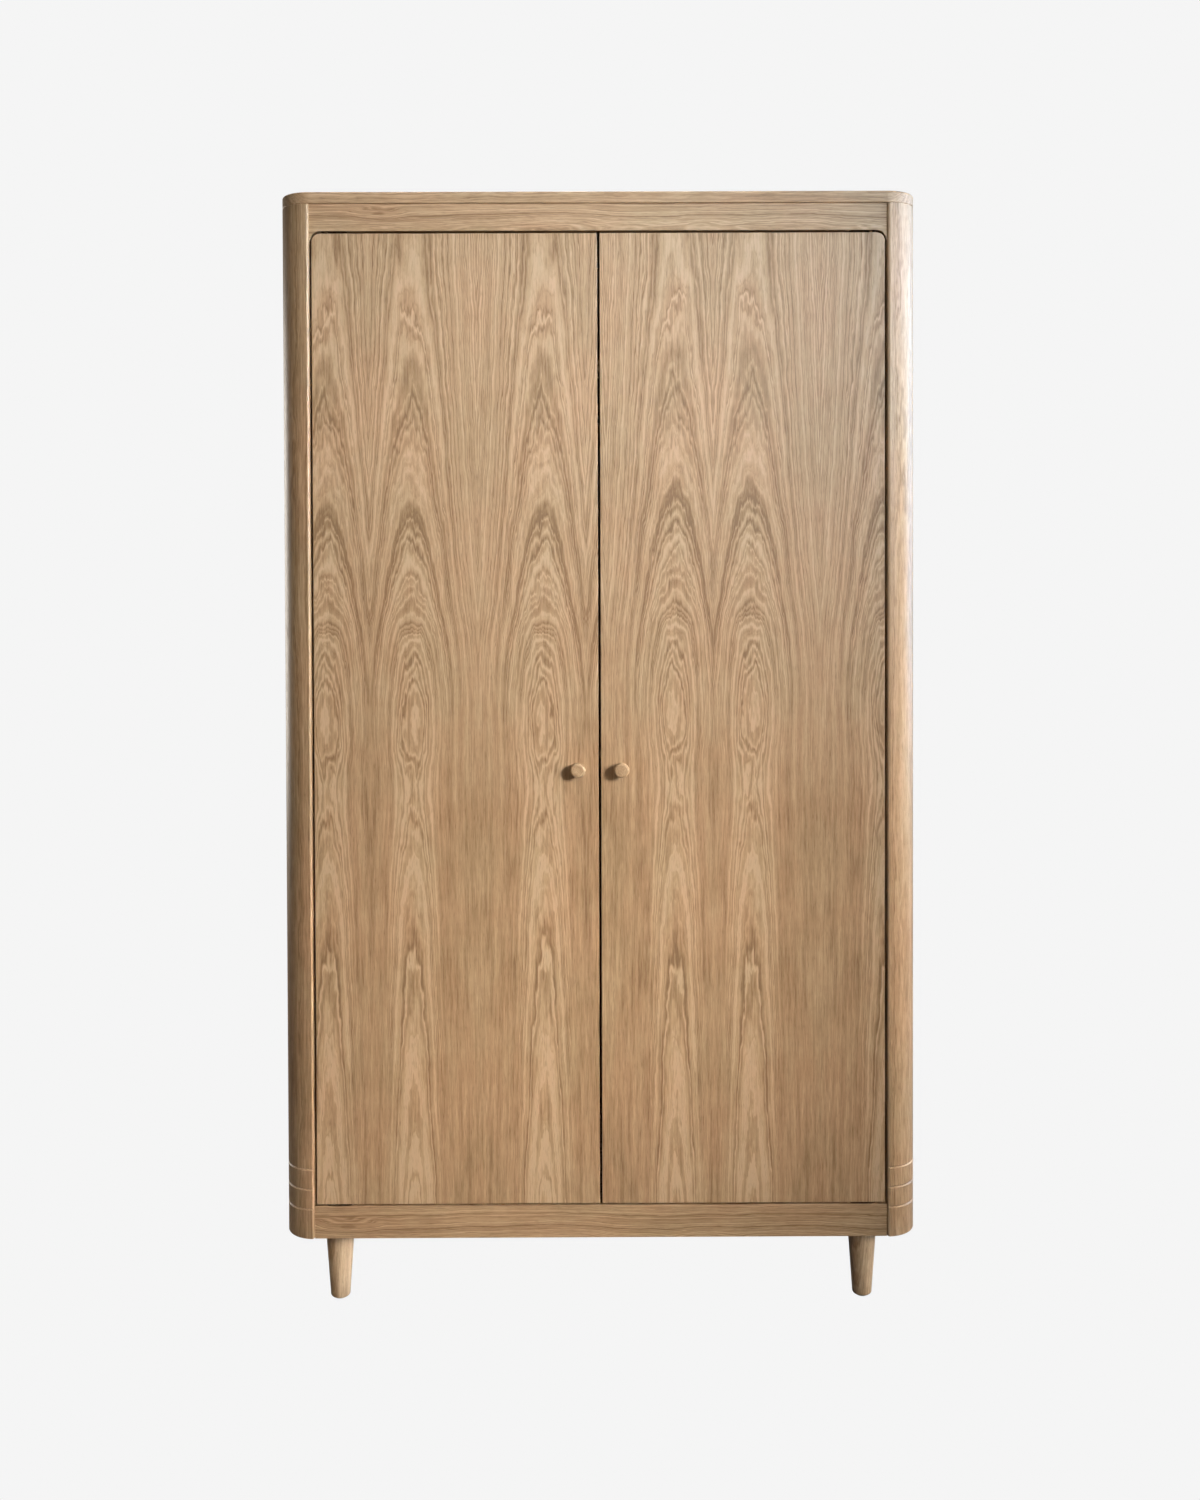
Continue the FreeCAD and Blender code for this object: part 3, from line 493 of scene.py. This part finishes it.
def knob_oak(node, pith):
    """Oak of a turned knob, its grain running out of the door and a painted highlight round its rim."""
    finish = Finish(oak_name(node))
    middle = middle_of(node)
    rim = distance(finish.x - middle[0], finish.z - middle[2]).step(*KNOB_RIM)
    across, depth = finish.x - pith[0], finish.z - pith[1]
    # The pale rim is a painted highlight on the knob's rounded edge
    tone = KNOB_TONE - RIM_HIGHLIGHT * rim
    return oak(finish, distance(across, depth), across, depth, finish.y, KNOB_FIGURE, tone)


# Fittings: colour and roughness of each metal and plastic, then the marks that vary them
METALS = {
    "rail_steel": ((0.62, 0.62, 0.63), 0.16),
    "fitting_steel": ((0.48, 0.48, 0.49), 0.32),
    "pivot_steel": ((0.20, 0.125, 0.075), 0.60),
    "bush_brass": ((0.60, 0.43, 0.18), 0.25),
}
PLASTICS = {
    "dark_plastic": ((0.13, 0.080, 0.048), 0.45),
    "nylon": ((0.72, 0.70, 0.64), 0.4),
}
MARK_SCALE = 900.0
MARK_STRETCH = 0.1
MARK_ROUGH = 0.06
MARK_RELIEF = (0.00005, 0.3)
SMUDGE_SCALE = 40.0
SMUDGE_EDGE = (-0.15, 0.3)
SMUDGE_ROUGH = 0.12
SMUDGE_SHADE = 0.8
MOULD_SCALE = 2200.0
MOULD_ROUGH = 0.1
MOULD_RELIEF = (0.00006, 0.5)
MOTTLE_SCALE = 60.0
MOTTLE_EDGE = (-0.15, 0.2)
MOTTLE_SHADE = 0.82


def opaque(colour, shade=1.0):
    """A colour with its opacity, darkened by a shade."""
    return tuple(shade * part for part in colour) + (1.0,)


def metal(slot, colour, rough):
    """Metal with fine turning marks: the colour and the gloss vary with a stretched noise."""
    finish = Finish(slot.replace("_", " "))
    marks = finish.noise(finish.vector(finish.x * MARK_STRETCH, finish.y, finish.z), MARK_SCALE, 3.0, 0.6)
    smudge = finish.noise(finish.place, SMUDGE_SCALE, 3.0)
    return finish.feed(
        Base_Color=finish.blend(smudge.step(*SMUDGE_EDGE), opaque(colour), opaque(colour, SMUDGE_SHADE)),
        Metallic=1.0,
        Roughness=rough + SMUDGE_ROUGH * smudge + MARK_ROUGH * marks,
        Normal=finish.bump(marks, *MARK_RELIEF))


def plastic(slot, colour, rough):
    """Moulded plastic with a fine spark-eroded texture."""
    finish = Finish(slot.replace("_", " "))
    grain = finish.noise(finish.place, MOULD_SCALE)
    mottle = finish.noise(finish.place, MOTTLE_SCALE)
    return finish.feed(
        Base_Color=finish.blend(mottle.step(*MOTTLE_EDGE), opaque(colour), opaque(colour, MOTTLE_SHADE)),
        Roughness=rough + MOULD_ROUGH * grain,
        Normal=finish.bump(grain, *MOULD_RELIEF))


def dress():
    """Give every node of the frame its finish, and hand back the finish of every slot."""
    finishes = {node: crown_oak(node, *veneer) for node, veneer in VENEERS.items()}
    finishes.update((node, solid_oak(oak_name(node), *solid)) for node, solid in SOLIDS.items())
    finishes.update((node, post_oak(node, *post)) for node, post in POSTS.items())
    finishes.update((node, knob_oak(node, pith)) for node, pith in KNOBS.items())
    plain = solid_oak("frame oak", "z", (0.03, 0.22))
    by_slot = {
        "oak_veneer": plain,
        "oak_solid": plain,
        "oak_back": solid_oak("back oak", "z", (0.0, 0.10), 0.7),
        "beech": solid_oak("dowel wood", "x", (0.1, 0.1), 0.5),
    }
    by_slot.update((slot, metal(slot, *look)) for slot, look in METALS.items())
    by_slot.update((slot, plastic(slot, *look)) for slot, look in PLASTICS.items())
    for part in frame["record"]["subparts"]:
        node = part["node"]
        slots = frame["nodes"][node].data.materials
        slots.clear()
        slots.append(finishes.get(node, by_slot[part["material_slot"]]))
    return by_slot


# Small fasteners. A head's profile has its reach and rise as shares of the head's radius and rise, from the
# rim inwards; the cross recess has its size as shares of the radius, and its own profile.
HEAD_PROFILE = ((1.0, 0.0), (1.0, 0.35), (0.86, 0.8), (0.66, 1.0))
CROSS_PROFILE = ((1.0, 1.0), (0.7, 0.2))
CROSS_REACH = 0.56
CROSS_HALF_WIDTH = 0.15
PIN_PROFILE = ((1.0, 0.0), (1.0, 0.5), (0.6, 1.0))
PIN_SIDES = 10
SCREW_RADIUS = 0.0035
SCREW_RISE = 0.0008
FLUSH_RISE = 0.00015
PIN_RADIUS = 0.0013
PIN_RISE = 0.0004

# Places of the heads on the nodes, in metres and degrees
PLATE_SCREWS = (0.4395, 0.4535)
CATCH_MIDDLE = 0.062
CATCH_SCREW_SPACING = 0.015
STRIKE_SCREW_SPACING = 0.012
SOCKET_FACE = 0.526
SOCKET_SCREW_CIRCLE = 0.0208
SOCKET_SCREW_TURNS = (90.0, 210.0, 330.0)
LEG_SCREW_SPACING = 0.0245
STILE_PINS = 0.012
PIN_GAP = 0.12
BACK_PINS_LOW = 0.25
BACK_PINS_HIGH = 1.84
BACK_TOP_PINS = 1.88


def screw_rows():
    """Angles, reach and rise of a screw's head, from the rim over the dome into a cross.

    The cross is a polar outline, at each angle the nearer of the arm's end and the arm's side.
    """
    quarter = math.pi / 2
    corner = math.atan2(CROSS_HALF_WIDTH, CROSS_REACH)
    turn = (np.array([-corner, 0.0, corner, quarter / 2]) + quarter * np.arange(4)[:, None]).ravel()
    folded = np.abs((turn + quarter / 2) % quarter - quarter / 2)
    cross = np.minimum(CROSS_REACH / np.cos(folded), CROSS_HALF_WIDTH / np.maximum(np.sin(folded), 1e-6))
    head, recess = np.array(HEAD_PROFILE), np.array(CROSS_PROFILE)
    reach = np.concatenate([head[:, :1] * np.ones_like(turn), recess[:, :1] * cross])
    return turn, reach, np.concatenate([head[:, 1], recess[:, 1]])


def pin_rows():
    """Angles, reach and rise of a plain pin's head."""
    turn = np.linspace(0.0, 2 * math.pi, PIN_SIDES, endpoint=False)
    profile = np.array(PIN_PROFILE)
    return turn, profile[:, :1] * np.ones_like(turn), profile[:, 1]


def add_heads(name, body, finish, rows, radius, rise, seats):
    """Heads of one kind in one mesh: rings about the outward axis of every seat, closed at both ends.

    A point lies at seat + radius * reach * (cos turn * first + sin turn * second) + rise * outward, where
    first and second are the two axes square to outward.
    """
    turn, reach, height = rows
    count, columns = reach.shape
    flat = np.stack([
        radius * reach * np.cos(turn), radius * reach * np.sin(turn),
        rise * height[:, None] * np.ones_like(turn)], -1).reshape(-1, 3)
    outward = np.array([axis for _, axis in seats], float)
    first = np.roll(outward, 1, axis=1)
    axes = np.stack([first, np.cross(outward, first), outward], 1)
    middles = np.array([middle for middle, _ in seats], float)
    points = np.einsum("pk,skj->spj", flat, axes) + middles[:, None]
    row, column = np.mgrid[:count - 1, :columns]
    following = (column + 1) % columns
    quads = np.stack([
        row * columns + column, row * columns + following,
        (row + 1) * columns + following, (row + 1) * columns + column], -1).reshape(-1, 4)
    ring = np.arange(columns)
    starts = len(flat) * np.arange(len(seats))[:, None]
    faces = (quads + starts[:, :, None]).reshape(-1, 4).tolist()
    faces += (ring + (count - 1) * columns + starts).tolist() + (ring[::-1] + starts).tolist()
    mesh = bpy.data.meshes.new(name)
    mesh.from_pydata(points.reshape(-1, 3).tolist(), [], faces)
    mesh.materials.append(finish)
    piece = bpy.data.objects.new(name, mesh)
    bpy.context.scene.collection.objects.link(piece)
    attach(piece, body)


def add_fasteners(steel, browned):
    """Screws of the pivots, catches, strikes, sockets and legs, and the pins of the back."""
    screw = screw_rows()
    up, down, back, front = (0, 0, 1), (0, 0, -1), (0, 1, 0), (0, -1, 0)
    sides = (("left", -1), ("right", 1))
    pivots = []
    catches = []
    sockets = []
    for hand, side in sides:
        depth = middle_of(hand + "_top_pivot_plate")[1]
        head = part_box(hand + "_top_pivot_plate")[0][2]
        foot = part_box(hand + "_bottom_pivot_plate")[1][2]
        pivots += [((side * x, depth, head), down) for x in PLATE_SCREWS]
        pivots += [((side * x, depth, foot), up) for x in PLATE_SCREWS]
        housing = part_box(hand + "_catch_housing")
        level = (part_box("top_rail")[0][2] + housing[1][2]) / 2
        catches += [((side * CATCH_MIDDLE + step, housing[1][1], level), back)
                    for step in (-CATCH_SCREW_SPACING, CATCH_SCREW_SPACING)]
        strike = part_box(hand + "_strike_plate")
        level = middle_of(hand + "_strike_plate")[2]
        strikes = [((side * CATCH_MIDDLE + step, strike[1][1], level), back)
                   for step in (-STRIKE_SCREW_SPACING, STRIKE_SCREW_SPACING)]
        add_heads(hand + "_strike_screws", hand + "_door", steel, screw, SCREW_RADIUS,
                  FLUSH_RISE, strikes)
        _, y, z = middle_of(hand + "_rail_socket")
        sockets += [((side * SOCKET_FACE, y + SOCKET_SCREW_CIRCLE * math.cos(turn),
                      z + SOCKET_SCREW_CIRCLE * math.sin(turn)), (-side, 0, 0))
                    for turn in np.radians(SOCKET_SCREW_TURNS)]
    legs = []
    for row in ("front", "rear"):
        for hand, _ in sides:
            plate = "{}_{}_leg_plate".format(row, hand)
            x, y, _ = middle_of(plate)
            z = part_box(plate)[0][2]
            legs += [((x + i * LEG_SCREW_SPACING, y + j * LEG_SCREW_SPACING, z), down)
                     for i in (-1, 1) for j in (-1, 1)]
    add_heads("pivot_screws", "carcass", browned, screw, SCREW_RADIUS, SCREW_RISE, pivots)
    add_heads("catch_screws", "carcass", steel, screw, SCREW_RADIUS, SCREW_RISE, catches)
    add_heads("socket_screws", "carcass", steel, screw, SCREW_RADIUS, SCREW_RISE, sockets)
    add_heads("leg_screws", "carcass", steel, screw, SCREW_RADIUS, SCREW_RISE, legs)
    least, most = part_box("right_back_panel")
    face = least[1]
    levels = np.arange(BACK_PINS_LOW, BACK_PINS_HIGH, PIN_GAP)
    pins = [((x, face, z), front) for z in levels for x in (-STILE_PINS, STILE_PINS)]
    reaches = np.arange(PIN_GAP, most[0], PIN_GAP)
    pins += [((side * x, face, BACK_TOP_PINS), front) for x in reaches for side in (-1, 1)]
    add_heads("back_pins", "carcass", steel, pin_rows(), PIN_RADIUS, PIN_RISE, pins)


def place_camera():
    """Stand the camera where the photo was taken, tilted down a little, its axis above the middle."""
    lens = bpy.data.cameras.new("camera")
    lens.sensor_width = SENSOR
    lens.lens = FOCAL_PIXELS / IMAGE_HEIGHT * SENSOR
    lens.shift_y = -(IMAGE_HEIGHT / 2 - AXIS_ROW) / IMAGE_HEIGHT
    camera = bpy.data.objects.new("camera", lens)
    turn = (Matrix.Rotation(-YAW_RIGHT, 4, "Z") @ Matrix.Rotation(math.pi / 2 - PITCH_DOWN, 4, "X")
            @ Matrix.Rotation(ROLL, 4, "Z"))
    camera.matrix_world = Matrix.Translation(EYE) @ turn
    bpy.context.scene.collection.objects.link(camera)
    bpy.context.scene.camera = camera


def add_light(name, where, towards, width, height, spread, power, colour):
    """A soft rectangular light at one point, facing another, with its beam narrowed to a spread."""
    lamp = bpy.data.lights.new(name, "AREA")
    lamp.shape = "RECTANGLE"
    lamp.size = width
    lamp.size_y = height
    lamp.spread = math.radians(spread)
    lamp.energy = power
    lamp.color = colour
    light = bpy.data.objects.new(name, lamp)
    aim = Vector(towards) - Vector(where)
    light.matrix_world = Matrix.Translation(where) @ aim.to_track_quat("-Z", "Y").to_matrix().to_4x4()
    light.visible_camera = False
    bpy.context.scene.collection.objects.link(light)


def add_shader(tree, kind, colour):
    """A plain shader of one colour."""
    shader = tree.nodes.new(kind)
    shader.inputs["Color"].default_value = colour
    return shader


def show_apart(tree, seen, felt, output):
    """Show the camera one shader, and let the other act on the light."""
    path = tree.nodes.new("ShaderNodeLightPath")
    mix = tree.nodes.new("ShaderNodeMixShader")
    tree.links.new(path.outputs["Is Camera Ray"], mix.inputs[0])
    tree.links.new(felt.outputs[0], mix.inputs[1])
    tree.links.new(seen.outputs[0], mix.inputs[2])
    tree.links.new(mix.outputs[0], output.inputs["Surface"])


def light_studio():
    """The soft lights, and a faint sky that the camera sees as the pale backdrop."""
    for light in LIGHTS:
        add_light(*light)
    world = bpy.data.worlds.new("studio")
    world.use_nodes = True
    tree = world.node_tree
    backdrop = tree.nodes["Background"]
    backdrop.inputs["Color"].default_value = PALE
    sky = add_shader(tree, "ShaderNodeBackground", SKY)
    sky.inputs["Strength"].default_value = SKY_STRENGTH
    show_apart(tree, backdrop, sky, tree.nodes["World Output"])
    bpy.context.scene.world = world


def lay_floor():
    """A plain floor that the camera sees as pale as the backdrop, and that throws back less light."""
    half = FLOOR_HALF_WIDTH
    mesh = bpy.data.meshes.new("floor")
    corners = [(-half, -half, 0.0), (half, -half, 0.0), (half, half, 0.0), (-half, half, 0.0)]
    mesh.from_pydata(corners, [], [(0, 1, 2, 3)])
    floor = bpy.data.objects.new("floor", mesh)
    bpy.context.scene.collection.objects.link(floor)
    material = bpy.data.materials.new("pale floor")
    material.use_nodes = True
    tree = material.node_tree
    tree.nodes.clear()
    glow = add_shader(tree, "ShaderNodeEmission", PALE)
    matt = add_shader(tree, "ShaderNodeBsdfDiffuse", FLOOR_SHADE)
    show_apart(tree, glow, matt, tree.nodes.new("ShaderNodeOutputMaterial"))
    mesh.materials.append(material)


finishes = dress()
add_fasteners(finishes["fitting_steel"], finishes["pivot_steel"])
place_camera()
light_studio()
lay_floor()
bpy.context.scene.view_settings.view_transform = "Standard"
